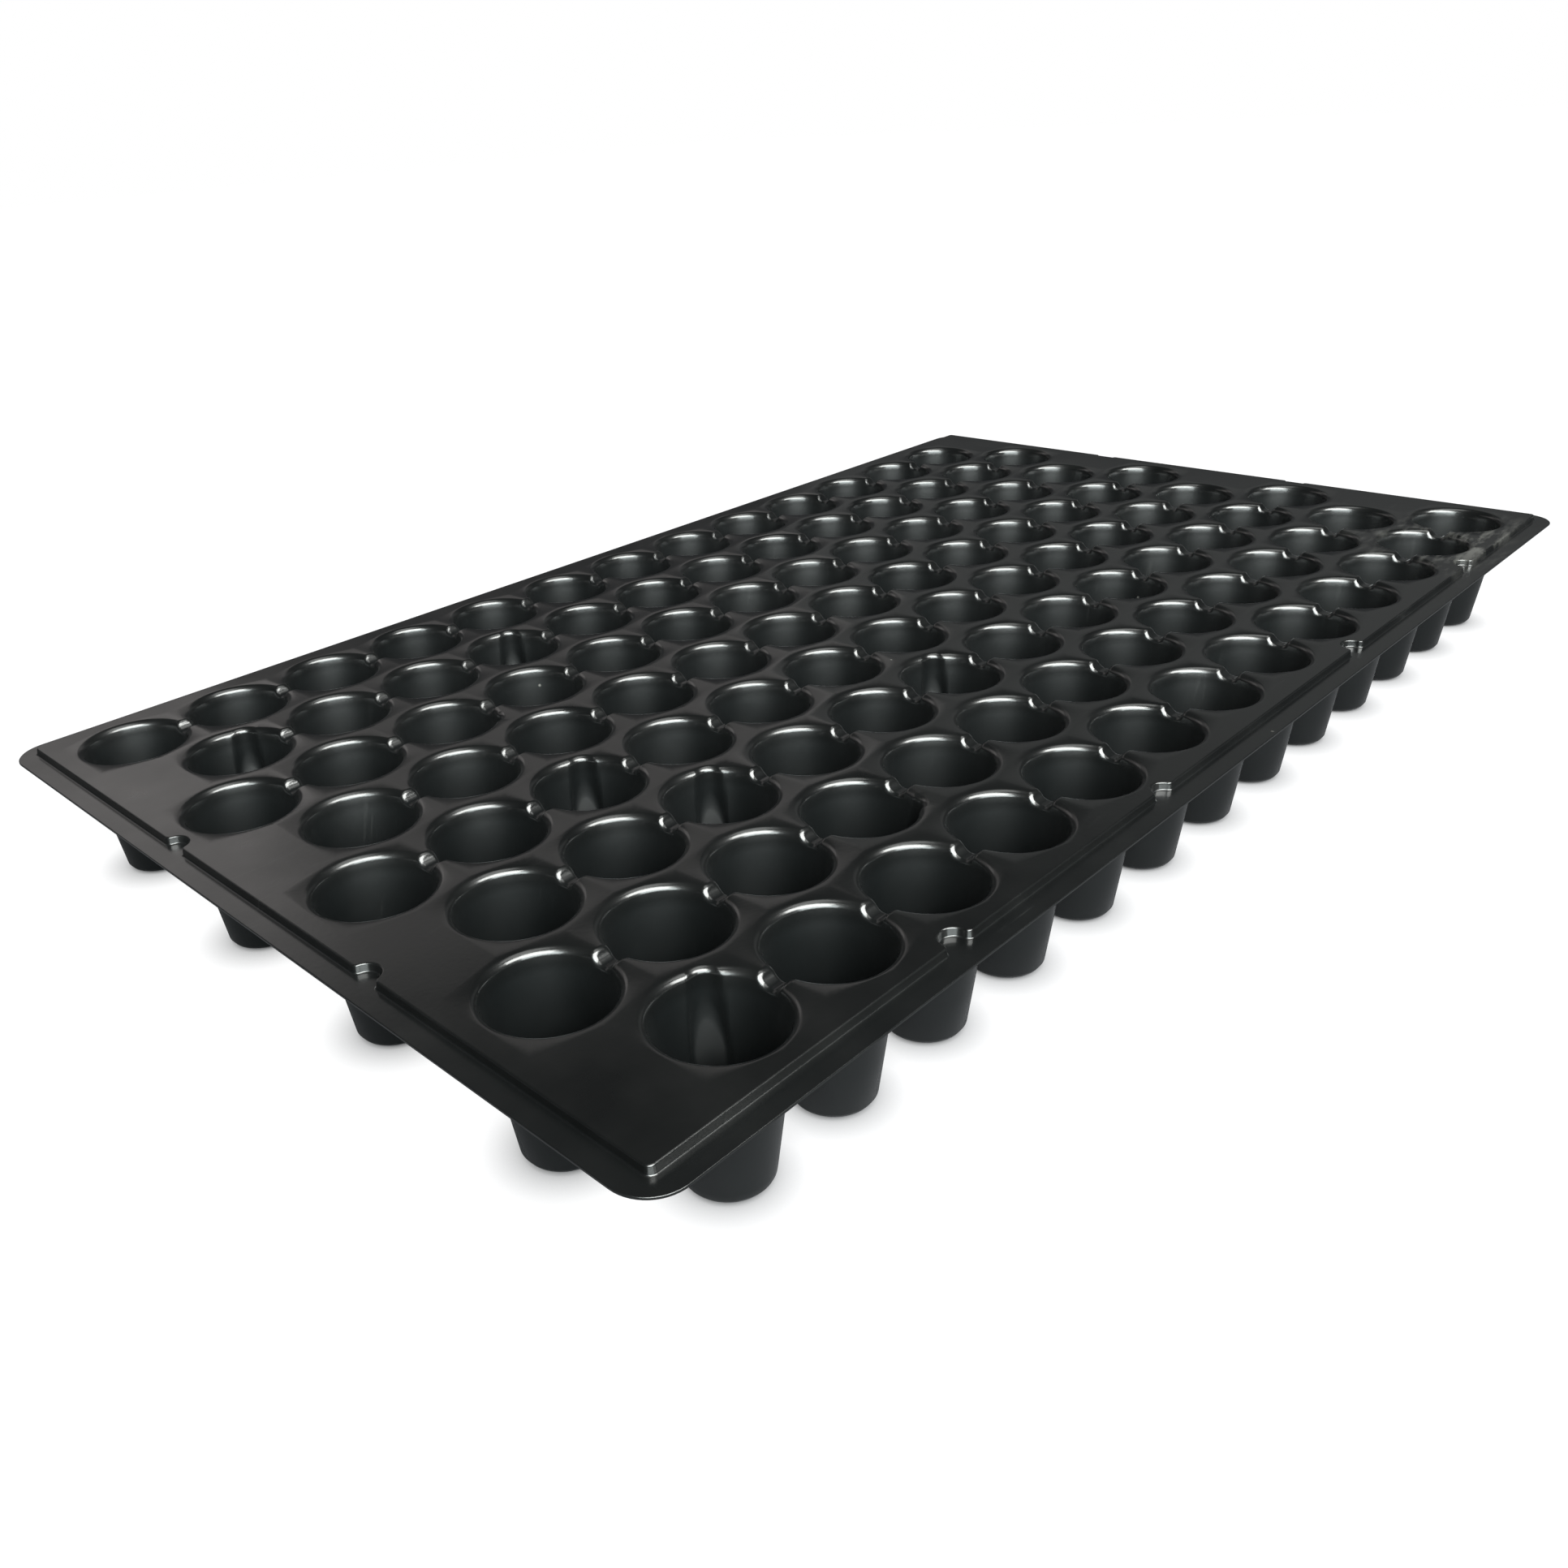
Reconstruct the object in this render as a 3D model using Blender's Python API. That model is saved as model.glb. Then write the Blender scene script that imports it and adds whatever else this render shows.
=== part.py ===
"""A plug tray for raising seedlings: one formed sheet of black plastic with 104 round cells.

The sheet is modelled as the zones that a person would name. A cell tile holds one or two
cups, their share of the flat deck and the overflow channel that joins them. Four rim
pieces hold the step and the flange round the outside. +X runs along the rows, +Z is up,
and the origin is at the middle of the plane that the cups stand on.
"""

import math

import bmesh
import bpy
from mathutils import Vector

MM = 0.001

# The whole tray
TRAY_LENGTH = 533.0 * MM
TRAY_WIDTH = 311.0 * MM
DECK_TOP = 44.5 * MM
SHEET = 0.9 * MM  # thickness of the deck and the rim, which forming hardly stretches
WALL = 0.6 * MM  # thickness of the cups, where forming has drawn the sheet thinner
GAP = 0.3 * MM  # between zones that touch

# The grid of cells
ROWS = "abcdefgh"  # from the near side, -Y, to the far side
CELLS = 13  # in each row
CELL_PITCH = 37.65 * MM
ROW_PITCH = 35.9 * MM
ROW_SHIFT = CELL_PITCH / 4  # every second row sits this far towards +X, the others towards -X
ZIGZAG = 2.0 * MM  # how far the line between two rows swings round the openings
EDGE_REACH = 19.2 * MM  # from an outer row's axis to the rim piece, beside a cup
EDGE_CORNER = 14.5 * MM  # and between two cups, where the notches need the room

# A cup
SIDES = 8
OPENING_RADIUS = 18.3 * MM
THROAT_RADIUS = 16.3 * MM
THROAT_DEPTH = 1.8 * MM
FLOOR_RADIUS = 10.6 * MM
DRAIN_RADIUS = 4.0 * MM
DRAIN_SIDES = 4

# The overflow channel between neighbours in a row
CHANNEL_DEPTH = 2.6 * MM
CHANNEL_TOP = 3.7 * MM  # half its width at the deck
CHANNEL_FLOOR = 2.0 * MM  # half its width at the bottom

# The pockets in some cups whose ledges keep stacked trays from jamming
POCKET_RADIUS = 4.8 * MM
POCKET_REACH = 13.1 * MM  # from the cup's axis to the pocket's
POCKET_DEPTH = 12.5 * MM
POCKET_SIDES = 8
FAR_POCKET = math.radians(57)
NEAR_POCKET = math.radians(-40)
POCKETS = {  # (row, cell): the direction of the pocket from the cup's axis
    ("a", 0): FAR_POCKET,
    ("b", 3): NEAR_POCKET,
    ("c", 2): FAR_POCKET,
    ("c", 5): FAR_POCKET,
    ("d", 2): FAR_POCKET,
    ("f", 2): NEAR_POCKET,
    ("g", 0): FAR_POCKET,
    ("g", 3): FAR_POCKET,
}

# The rim
FLANGE_WIDTH = 6.5 * MM
FLANGE_DROP = 2.3 * MM  # from the deck down to the flange
FLANGE_CORNER = 11.0 * MM
STEP_CORNER = 2.0 * MM
NOTCH_RADIUS = 4.8 * MM
NOTCH_SIDES = 8
NEAR_SIDE_NOTCHES = {-159.4: 1.4, -62.0: -0.6, 72.0: 1.2, 179.0: 1.2}  # x: distance in from the step
SHORT_SIDE_NOTCHES = {-51.0: 0.2, 47.2: 0.2}  # y: distance in, on the left; the right is turned

CLEAR = 1.0 * MM  # how far a cutter runs past the surface that it opens


def clear_scene():
    for obj in list(bpy.data.objects):
        bpy.data.objects.remove(obj, do_unlink=True)


def black_plastic(name, roughness):
    material = bpy.data.materials.new(name)
    material.use_nodes = True
    shader = material.node_tree.nodes["Principled BSDF"]
    shader.inputs["Base Color"].default_value = (0.012, 0.013, 0.014, 1.0)
    shader.inputs["Roughness"].default_value = roughness
    shader.inputs["Metallic"].default_value = 0.0
    return material


def prism(outline, low, high):
    """A closed solid over the outline, a list of (x, y) points, between two heights."""
    shape = bmesh.new()
    ring = [shape.verts.new((x, y, low)) for x, y in outline]
    floor = shape.faces.new(ring)
    raised = bmesh.ops.extrude_face_region(shape, geom=[floor])["geom"]
    corners = [item for item in raised if isinstance(item, bmesh.types.BMVert)]
    bmesh.ops.translate(shape, verts=corners, vec=(0, 0, high - low))
    bmesh.ops.recalc_face_normals(shape, faces=shape.faces)
    return shape


def turned(profile, sides, centre=(0.0, 0.0)):
    """A closed solid with flat sides, from (radius, height) points given from the bottom up."""
    shape = bmesh.new()
    rings = []
    for radius, height in profile:
        ring = []
        for i in range(sides):
            angle = (i + 0.5) * math.tau / sides
            x = centre[0] + radius * math.cos(angle)
            y = centre[1] + radius * math.sin(angle)
            ring.append(shape.verts.new((x, y, height)))
        rings.append(ring)
    for lower, upper in zip(rings, rings[1:]):
        for i in range(sides):
            j = (i + 1) % sides
            shape.faces.new((lower[i], lower[j], upper[j], upper[i]))
    shape.faces.new(reversed(rings[0]))
    shape.faces.new(rings[-1])
    return shape


def helper_object(shape):
    """An object for a Boolean, hidden from the render, made from a bmesh that it uses up."""
    mesh = bpy.data.meshes.new("helper")
    shape.to_mesh(mesh)
    shape.free()
    obj = bpy.data.objects.new("helper", mesh)
    obj.hide_render = True
    obj.display_type = "WIRE"
    bpy.context.scene.collection.objects.link(obj)
    return obj


def carved(solids, cutters, region=None):
    """The mesh of the solids joined, less the cutters, kept only inside the region."""
    first, *others = [helper_object(shape) for shape in solids]
    steps = [("UNION", other) for other in others]
    steps += [("DIFFERENCE", helper_object(shape)) for shape in cutters]
    if region is not None:
        steps.append(("INTERSECT", helper_object(region)))
    for operation, other in steps:
        boolean = first.modifiers.new(operation.lower(), "BOOLEAN")
        boolean.operation = operation
        boolean.object = other
    graph = bpy.context.evaluated_depsgraph_get()
    mesh = bpy.data.meshes.new_from_object(first.evaluated_get(graph))
    for obj in [first] + [other for _, other in steps]:
        helper_mesh = obj.data
        bpy.data.objects.remove(obj, do_unlink=True)
        bpy.data.meshes.remove(helper_mesh)
    return mesh


def add_node(name, mesh, material, location=(0.0, 0.0, 0.0)):
    mesh.name = name
    mesh.materials.clear()
    mesh.materials.append(material)
    mesh.shade_smooth()
    mesh.set_sharp_from_angle(angle=math.radians(40))
    obj = bpy.data.objects.new(name, mesh)
    obj.location = location
    bpy.context.scene.collection.objects.link(obj)
    return obj


def row_y(row):
    return (row - (len(ROWS) - 1) / 2) * ROW_PITCH


def cell_x(row, cell):
    shift = ROW_SHIFT if row % 2 == 0 else -ROW_SHIFT
    return (cell - (CELLS - 1) / 2) * CELL_PITCH + shift


def tile_side(outer, count):
    """How far the deck of count cells reaches from the row's axis, at each half pitch."""
    between_cups, beside_cup = ROW_PITCH / 2 - ZIGZAG, ROW_PITCH / 2 + ZIGZAG
    if outer:
        between_cups, beside_cup = EDGE_CORNER, EDGE_REACH
    return [between_cups if i % 2 == 0 else beside_cup for i in range(2 * count + 1)]


def tile_outline(row, count):
    """The tile's share of the deck: straight ends, and long sides that swing round the openings."""
    half_gap = GAP / 2
    xs = [(i - 1) * CELL_PITCH / 2 for i in range(2 * count + 1)]
    xs[0] += half_gap
    xs[-1] -= half_gap
    near = [(x, half_gap - reach) for x, reach in zip(xs, tile_side(row == 0, count))]
    far_reaches = tile_side(row == len(ROWS) - 1, count)
    far = [(x, reach - half_gap) for x, reach in zip(xs, far_reaches)]
    return near + far[::-1]


def cup_outside(x):
    profile = [
        (FLOOR_RADIUS + WALL, 0.0),
        (THROAT_RADIUS + WALL, DECK_TOP - THROAT_DEPTH - WALL),
        (OPENING_RADIUS, DECK_TOP - SHEET),
        (OPENING_RADIUS, DECK_TOP - SHEET / 2),
    ]
    return turned(profile, SIDES, (x, 0.0))


def cup_inside(x):
    profile = [
        (FLOOR_RADIUS, WALL),
        (THROAT_RADIUS, DECK_TOP - THROAT_DEPTH),
        (OPENING_RADIUS, DECK_TOP),
        (OPENING_RADIUS, DECK_TOP + CLEAR),
    ]
    return turned(profile, SIDES, (x, 0.0))


def drain_hole(x):
    profile = [(DRAIN_RADIUS, -CLEAR), (DRAIN_RADIUS, WALL + CLEAR)]
    return turned(profile, DRAIN_SIDES, (x, 0.0))


def channel(start, end, wall):
    """A bar with the channel's cross-section, a wall thicker all round, from start to end in x."""
    floor = DECK_TOP - CHANNEL_DEPTH - wall
    top = DECK_TOP - SHEET / 2 if wall else DECK_TOP + CLEAR
    section = [
        (-CHANNEL_FLOOR - wall, floor),
        (CHANNEL_FLOOR + wall, floor),
        (CHANNEL_TOP + wall, top),
        (-CHANNEL_TOP - wall, top),
    ]
    shape = bmesh.new()
    ring = [shape.verts.new((start, y, z)) for y, z in section]
    face = shape.faces.new(ring)
    moved = bmesh.ops.extrude_face_region(shape, geom=[face])["geom"]
    corners = [item for item in moved if isinstance(item, bmesh.types.BMVert)]
    bmesh.ops.translate(shape, verts=corners, vec=(end - start, 0, 0))
    bmesh.ops.recalc_face_normals(shape, faces=shape.faces)
    return shape


def pocket(x, direction, wall):
    """The upright post that bulges a cup's wall outwards and ends in a ledge."""
    centre = (x + POCKET_REACH * math.cos(direction), POCKET_REACH * math.sin(direction))
    radius = POCKET_RADIUS + wall
    low = DECK_TOP - POCKET_DEPTH - wall
    high = DECK_TOP - SHEET / 2 if wall else DECK_TOP + CLEAR
    return turned([(radius, low), (radius, high)], POCKET_SIDES, centre)


def tile_mesh(row, first, count):
    """Cups first to first + count - 1 of a row, with the first cup's axis at the origin."""
    xs = [i * CELL_PITCH for i in range(count)]
    solids = [prism(tile_outline(row, count), DECK_TOP - SHEET, DECK_TOP)]
    cutters = []
    for i, x in enumerate(xs):
        solids.append(cup_outside(x))
        cutters += [cup_inside(x), drain_hole(x)]
        direction = POCKETS.get((ROWS[row], first + i))
        if direction is not None:
            solids.append(pocket(x, direction, WALL))
            cutters.append(pocket(x, direction, 0.0))
    half_pitch = CELL_PITCH / 2
    inside_cup = THROAT_RADIUS / 2
    for i in range(count + 1):
        at_row_end = first + i in (0, CELLS)
        if at_row_end:
            continue
        middle = i * CELL_PITCH - half_pitch
        start = middle - half_pitch + inside_cup if i > 0 else middle + GAP / 2
        end = middle + half_pitch - inside_cup if i < count else middle - GAP / 2
        solids.append(channel(start, end, WALL))
        cut_start = start if i > 0 else middle - GAP
        cut_end = end if i < count else middle + GAP
        cutters.append(channel(cut_start, cut_end, 0.0))
    return carved(solids, cutters)


def rounded_outline(half_length, half_width, radius, steps=4):
    """A rectangle with round corners, as (x, y) points."""
    points = []
    for quarter in range(4):
        middle_x = (half_length - radius) * (1 if quarter in (0, 3) else -1)
        middle_y = (half_width - radius) * (1 if quarter in (0, 1) else -1)
        for i in range(steps + 1):
            angle = (quarter + i / steps) * math.pi / 2
            points.append((middle_x + radius * math.cos(angle), middle_y + radius * math.sin(angle)))
    return points


def notch_places():
    """Where the round notches that bite into the deck's edge stand."""
    x_line = TRAY_LENGTH / 2 - FLANGE_WIDTH
    y_line = TRAY_WIDTH / 2 - FLANGE_WIDTH
    places = [(x * MM, inset * MM - y_line) for x, inset in NEAR_SIDE_NOTCHES.items()]
    for y, inset in SHORT_SIDE_NOTCHES.items():
        left = (inset * MM - x_line, y * MM)
        places += [left, (-left[0], -left[1])]
    return places


def notch(place, wall):
    """A notch's space, down to the flange, or with a wall all round it."""
    low = DECK_TOP - FLANGE_DROP - wall
    high = DECK_TOP - SHEET / 2 if wall else DECK_TOP + CLEAR
    return turned([(NOTCH_RADIUS + wall, low), (NOTCH_RADIUS + wall, high)], NOTCH_SIDES, place)


def row_ends(side):
    """The corners of the rows' ends at side -1 or 1 in x, from the near side to the far side."""
    points = []
    for row in range(len(ROWS)):
        cell = 0 if side < 0 else CELLS - 1
        x = cell_x(row, cell) + side * (CELL_PITCH / 2 + GAP / 2)
        near = tile_side(row == 0, 1)[0]
        far = tile_side(row == len(ROWS) - 1, 1)[0]
        points += [(x, row_y(row) - near), (x, row_y(row) + far)]
    return points


def long_side_region(row, side):
    """The outline that holds the rim piece beside an outer row, at side -1 or 1 in y."""
    reach = side * (TRAY_WIDTH / 2 + CLEAR)
    xs = [cell_x(row, 0) + (i - 1) * CELL_PITCH / 2 for i in range(2 * CELLS + 1)]
    xs[0] += GAP / 2
    xs[-1] -= GAP / 2
    along_row = [
        (x, row_y(row) + side * (row_reach + GAP / 2))
        for x, row_reach in zip(xs, tile_side(True, CELLS))
    ]
    return along_row + [(xs[-1], reach), (xs[0], reach)]


def short_side_region(side):
    """The outline that holds the rim piece past the rows' ends, at side -1 or 1 in x."""
    ends = row_ends(side)
    reach_x = side * (TRAY_LENGTH / 2 + CLEAR)
    reach_y = TRAY_WIDTH / 2 + CLEAR
    outside = [(ends[-1][0], reach_y), (reach_x, reach_y), (reach_x, -reach_y)]
    return ends + outside + [(ends[0][0], -reach_y)]


def rim_regions():
    return {
        "rim_near": long_side_region(0, -1),
        "rim_far": long_side_region(len(ROWS) - 1, 1),
        "rim_left": short_side_region(-1),
        "rim_right": short_side_region(1),
    }


def rim_solids():
    """The flange and the raised pan that it surrounds."""
    half_length = TRAY_LENGTH / 2
    half_width = TRAY_WIDTH / 2
    underside = DECK_TOP - FLANGE_DROP - SHEET
    flange = rounded_outline(half_length, half_width, FLANGE_CORNER)
    pan = rounded_outline(half_length - FLANGE_WIDTH, half_width - FLANGE_WIDTH, STEP_CORNER, 1)
    return [
        prism(flange, underside, DECK_TOP - FLANGE_DROP),
        prism(pan, underside, DECK_TOP),
    ]


def rim_hollow():
    """The space under the deck, inside the step."""
    inset = FLANGE_WIDTH + SHEET
    outline = rounded_outline(TRAY_LENGTH / 2 - inset, TRAY_WIDTH / 2 - inset, STEP_CORNER, 1)
    return prism(outline, DECK_TOP - FLANGE_DROP - SHEET - CLEAR, DECK_TOP - SHEET)


def notches_in(outline):
    low_x, high_x = min(x for x, _ in outline), max(x for x, _ in outline)
    low_y, high_y = min(y for _, y in outline), max(y for _, y in outline)
    return [p for p in notch_places() if low_x < p[0] < high_x and low_y < p[1] < high_y]


def rim_mesh(outline):
    """One rim piece: the pan, hollowed from below, with its notches pressed in, kept inside the outline."""
    places = notches_in(outline)
    shell = carved(rim_solids(), [rim_hollow()])
    base = bmesh.new()
    base.from_mesh(shell)
    bpy.data.meshes.remove(shell)
    solids = [base] + [notch(place, SHEET) for place in places]
    cutters = [notch(place, 0.0) for place in places]
    return carved(solids, cutters, prism(outline, 0.0, DECK_TOP + CLEAR))


def build_cells():
    plastic = black_plastic("cell_plastic", 0.32)
    for row, letter in enumerate(ROWS):
        for first in range(0, CELLS, 2):
            count = min(2, CELLS - first)
            name = f"cells_{letter}{first + 1:02d}"
            if count == 2:
                name += f"_{letter}{first + 2:02d}"
            place = Vector((cell_x(row, first), row_y(row), 0.0))
            add_node(name, tile_mesh(row, first, count), plastic, place)


def build_rim():
    plastic = black_plastic("rim_plastic", 0.36)
    for name, outline in rim_regions().items():
        add_node(name, rim_mesh(outline), plastic)


def main():
    clear_scene()
    build_cells()
    build_rim()


main()
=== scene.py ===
"""Looks of the plug tray: one sheet of black plastic with rounded lips, channels, pockets and rim.

Each CAD zone is replaced by a detailed piece. A cup's upper surface is found from its
cavities: every point is searched for along a line that runs up out of the material, and the
underside on the same lines, one sheet thickness deeper. The rim sweeps the step's profile
along the step. Shape code works in millimetres, with heights measured from the deck, so that
they are negative.
"""

import math

import bpy
import numpy as np
from mathutils import Matrix, Vector


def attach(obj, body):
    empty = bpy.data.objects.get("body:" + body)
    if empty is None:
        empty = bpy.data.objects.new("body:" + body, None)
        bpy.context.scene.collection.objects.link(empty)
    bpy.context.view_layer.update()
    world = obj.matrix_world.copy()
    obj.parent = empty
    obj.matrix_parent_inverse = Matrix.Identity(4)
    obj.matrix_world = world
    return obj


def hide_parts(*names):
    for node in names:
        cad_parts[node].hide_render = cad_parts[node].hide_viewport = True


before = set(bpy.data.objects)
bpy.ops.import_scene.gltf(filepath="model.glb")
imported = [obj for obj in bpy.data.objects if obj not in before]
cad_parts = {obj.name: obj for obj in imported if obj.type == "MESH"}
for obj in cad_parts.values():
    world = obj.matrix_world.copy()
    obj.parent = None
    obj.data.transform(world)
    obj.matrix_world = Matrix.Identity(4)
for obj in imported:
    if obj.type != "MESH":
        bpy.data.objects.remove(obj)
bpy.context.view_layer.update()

MM = 0.001

# The whole tray, as in the CAD model
LENGTH, WIDTH = 533.0, 311.0
DECK_TOP = 44.5  # above the plane that the cups stand on
SHEET = 0.9  # thickness of the deck and the rim
WALL = 0.6  # thickness of the cups
DRAWN_FROM, DRAWN_TO = 1.0, 6.0  # depths between which the sheet grows thinner and duller, and painted shade darkens its colour

# The grid of cells
ROWS = "abcdefgh"
CELLS = 13
CELL_PITCH = 37.65
ROW_PITCH = 35.9
ROW_SHIFT = CELL_PITCH / 4
ZIGZAG = 2.0  # how far the line between two rows swings round the openings
EDGE_REACH = 19.2  # from an outer row's axis to the rim piece, beside a cup
EDGE_CORNER = 14.5  # and between two cups

# A cup
LIP_RADIUS = 18.3  # where the rounded lip meets the flat deck
LIP_FILLET = 2.0
THROAT_RADIUS = 16.3
THROAT_DEPTH = 1.8
FLOOR_RADIUS = 10.6
FOOT_FILLET = 1.8
DRAIN_RADIUS = 4.0
TAPER = (THROAT_RADIUS - FLOOR_RADIUS) / (DECK_TOP - WALL - THROAT_DEPTH)

# The overflow channel between neighbours in a row
CHANNEL_DEPTH = 2.8
CHANNEL_FLOOR = 2.5  # half its width at the bottom
CHANNEL_DRAFT = 0.3
CHANNEL_FILLET = 2.0  # along its bottom corners
CHANNEL_EDGE = 1.0  # along its upper edges and on the lips where it enters the cups

# The pockets whose ledges keep stacked trays from jamming
POCKET_RADIUS = 4.5
POCKET_REACH = 13.1
POCKET_DEPTH = 11.0
POCKET_FILLET = 1.0
POCKET_EDGE = 0.7
LEDGE_SLOPE = 3.0
FAR_POCKET = math.radians(57)
NEAR_POCKET = math.radians(-40)
POCKETS = {
    ("a", 0): FAR_POCKET,
    ("b", 3): NEAR_POCKET,
    ("c", 2): FAR_POCKET,
    ("c", 5): FAR_POCKET,
    ("d", 2): FAR_POCKET,
    ("f", 2): NEAR_POCKET,
    ("g", 0): FAR_POCKET,
    ("g", 3): FAR_POCKET,
}

# The rim
FLANGE_WIDTH = 6.5
FLANGE_DROP = 2.3
FLANGE_CORNER = 10.9
STEP_CORNER = 2.0
STEP_DRAFT = 0.15
STEP_FILLET = 0.5  # where the step leaves the deck
STEP_FOOT = 0.5  # where it meets the flange
CUT_ROUND = 0.25  # rounding of the flange's cut edge

# Round bites out of the step: radius, and the rounding of the corners where they run into it
NOTCH = (3.9, 1.7)
DENT = (1.3, 1.0)
# Their places along a side, each with its centre's distance in from the step
NEAR_SIDE_NOTCHES = {-159.4: 1.4, -62.0: -0.6, 72.0: 1.2, 179.0: 1.2}  # by x
SHORT_SIDE_NOTCHES = {-51.0: 0.2, 47.2: 0.2}  # by y, on the left; the right is the same, turned
FAR_SIDE_DENTS = {-160.0: -0.2, -50.0: -0.2, 25.0: -0.2, 136.0: -0.2}  # by x before it is turned

# How finely the shapes are divided, and where the lines that find a cup's surface lie
HALVINGS = 30  # of such a line
CHANNEL_RAYS = 13  # over a channel, from its middle to where it has ended
CHANNEL_END = math.radians(16)
CORNER_STEPS = 6  # from there to the tile's corner
SIDE_STEPS = 10  # and on to the middle of its side
POCKET_SIDE_STEPS = 24  # the same in a cell with a pocket
FOOT_TURNS = (-90, -65, -54, -44, -34, -24, 0)  # degrees up from level
WALL_HEIGHTS = (-30.0, -18.0)  # from the deck
# From the height that the pocket's ledge has at its outside
LEDGE_RISES = (-10, -9, -8, -7, -6, -5, -4, -3, -2.2, -1.6, -1.1, -0.7, -0.3, 0.2, 0.8, 1.6)
THROAT_TURNS = (90, 45, 33, 28.5, 25.8, 23.4)  # degrees in from upright
LIP_TURNS = (83, 72, 60, 48, 36, 24, 12, 0)  # the same, for the normal of the lip's fillet
FILLET_POINTS = 9
NOTCH_POINTS = 29
CORNER_STATIONS = 15  # cross-sections round a corner of the rim
STATION_SPACING = 12.0  # about how far apart they are along a side
WELD_DECIMALS = 4  # points that agree to this many places are one
SMOOTH_ANGLE = math.radians(50)  # faces that turn further from a point's normal stay flat

# The plastic's colours
DARK_PLASTIC = (0.0023, 0.0026, 0.0026, 1.0)
PALE_PLASTIC = (0.004, 0.0043, 0.0042, 1.0)
CUP_SHADE_PLASTIC = (0.0022, 0.003, 0.0032, 1.0)  # painted shade: a darker, bluer colour in the cups
SCUFF = (0.045, 0.046, 0.045, 1.0)
SMEAR = (0.12, 0.118, 0.11, 1.0)
DUST = (0.12, 0.12, 0.11, 1.0)

# Its surface
ROUGHNESS, COAT_ROUGHNESS = (0.27, 0.34), (0.13, 0.21)  # from the dark to the pale mottle
DRAWN_ROUGHNESS = 0.12  # added in the cups
SCUFF_ROUGHNESS = 0.2  # added on the scuffs
WAVE_DEPTH, PIT_DEPTH, NICK_DEPTH = 0.0003, 0.000012, 0.00012  # in metres
SMEAR_DROP = 3.0  # smears fade out over this depth below the deck
WORN_CORNER, WORN_REACH = (204, -141), 50.0  # where the deck is worn most

# The camera, in metres and degrees
CAMERA_PLACE = (-0.3894, -0.3046, 0.2276)
CAMERA_TURN = (-52.88, 66.13, 9.02)  # about Z, then the tilted X, then the camera's own Y
CAMERA_LENS, CAMERA_SENSOR = 31.6, 36.0  # in millimetres
CAMERA_SHIFT = (0.0675, -0.0517)  # in widths of the sensor

# The floor, in metres
FLOOR_COLOUR = (0.085, 0.085, 0.09, 1.0)
FLOOR_GLOW = 0.95  # what the floor sends to the camera under the tray, so that shadows stay pale
FLOOR_FADE = (0.3, 1.0)  # distances from the origin between which that rises to 1
CONTACT_SHADOW = 0.011  # how far the shading round the foot of a cup reaches
FLOOR_SIZE = 12.0
FLOOR_GAP = 0.0002  # to the cups' undersides

# The light
ROOM = 0.035  # how bright the surroundings look in reflections
ROOM_COLOUR = (0.9, 0.95, 1.0, 1.0)
SOFTBOX_DISTANCE = 2.0  # in metres, from the origin
WARM = (1.0, 0.95, 0.93)
COOL = (0.91, 1.0, 0.99)
PLAIN = (0.98, 1.0, 0.97)
SOFTBOXES = {  # azimuth and elevation in degrees, width and height in metres, radiance, colour
    "key": (-106, 44, 2.3, 0.9, 15.0, PLAIN),
    "front": (-125, 24, 2.0, 0.9, 9.0, COOL),
    "overhead": (-70, 77, 1.2, 1.2, 2.0, PLAIN),
    "back_left": (98, 29, 1.7, 0.6, 0.35, WARM),
    "back": (66, 30, 1.7, 0.5, 0.27, WARM),
    "back_right": (18, 23, 1.7, 0.6, 0.11, PLAIN),
}


# ---- Distances from points to the cavities, negative in the open ----


def round_union(a, b, radius):
    """Two cavities taken together, with the edge of material between them rounded."""
    corner = np.hypot(np.maximum(radius - a, 0), np.maximum(radius - b, 0))
    return np.maximum(radius, np.minimum(a, b)) - corner


def round_overlap(a, b, radius):
    """What two cavities share, with the inner corner rounded."""
    corner = np.hypot(np.maximum(radius + a, 0), np.maximum(radius + b, 0))
    return np.minimum(-radius, np.maximum(a, b)) + corner


def cup_cavity(x, y, z):
    radius = THROAT_RADIUS + (z + THROAT_DEPTH) * TAPER
    wall = (np.hypot(x, y) - radius) / math.hypot(1, TAPER)
    floor = WALL - DECK_TOP - z
    return round_overlap(wall, floor, FOOT_FILLET)


def pocket_cavity(x, y, z, direction):
    across = x - POCKET_REACH * math.cos(direction)
    along = y - POCKET_REACH * math.sin(direction)
    wall = np.hypot(across, along) - POCKET_RADIUS
    out = x * math.cos(direction) + y * math.sin(direction)
    to_outside = POCKET_REACH + POCKET_RADIUS - out
    ledge = (-POCKET_DEPTH - LEDGE_SLOPE * to_outside - z) / math.hypot(1, LEDGE_SLOPE)
    return round_overlap(wall, ledge, POCKET_FILLET)


def channel_cavity(y, z):
    half_width = CHANNEL_FLOOR + (z + CHANNEL_DEPTH) * CHANNEL_DRAFT
    side = (np.abs(y) - half_width) / math.hypot(1, CHANNEL_DRAFT)
    return round_overlap(side, -CHANNEL_DEPTH - z, CHANNEL_FILLET)


def cell_depth(kind, x, y, z):
    """How deep a point lies in the sheet round one cup."""
    cup = cup_cavity(x, y, z)
    if kind["pocket"] is not None:
        cup = round_union(cup, pocket_cavity(x, y, z, kind["pocket"]), POCKET_EDGE)
    depth = round_union(-z, cup, LIP_FILLET)
    opened = round_union(depth, channel_cavity(y, z), CHANNEL_EDGE)
    depth = np.where((x < 0) & kind["left_channel"], opened, depth)
    return np.where((x > 0) & kind["right_channel"], opened, depth)


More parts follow.
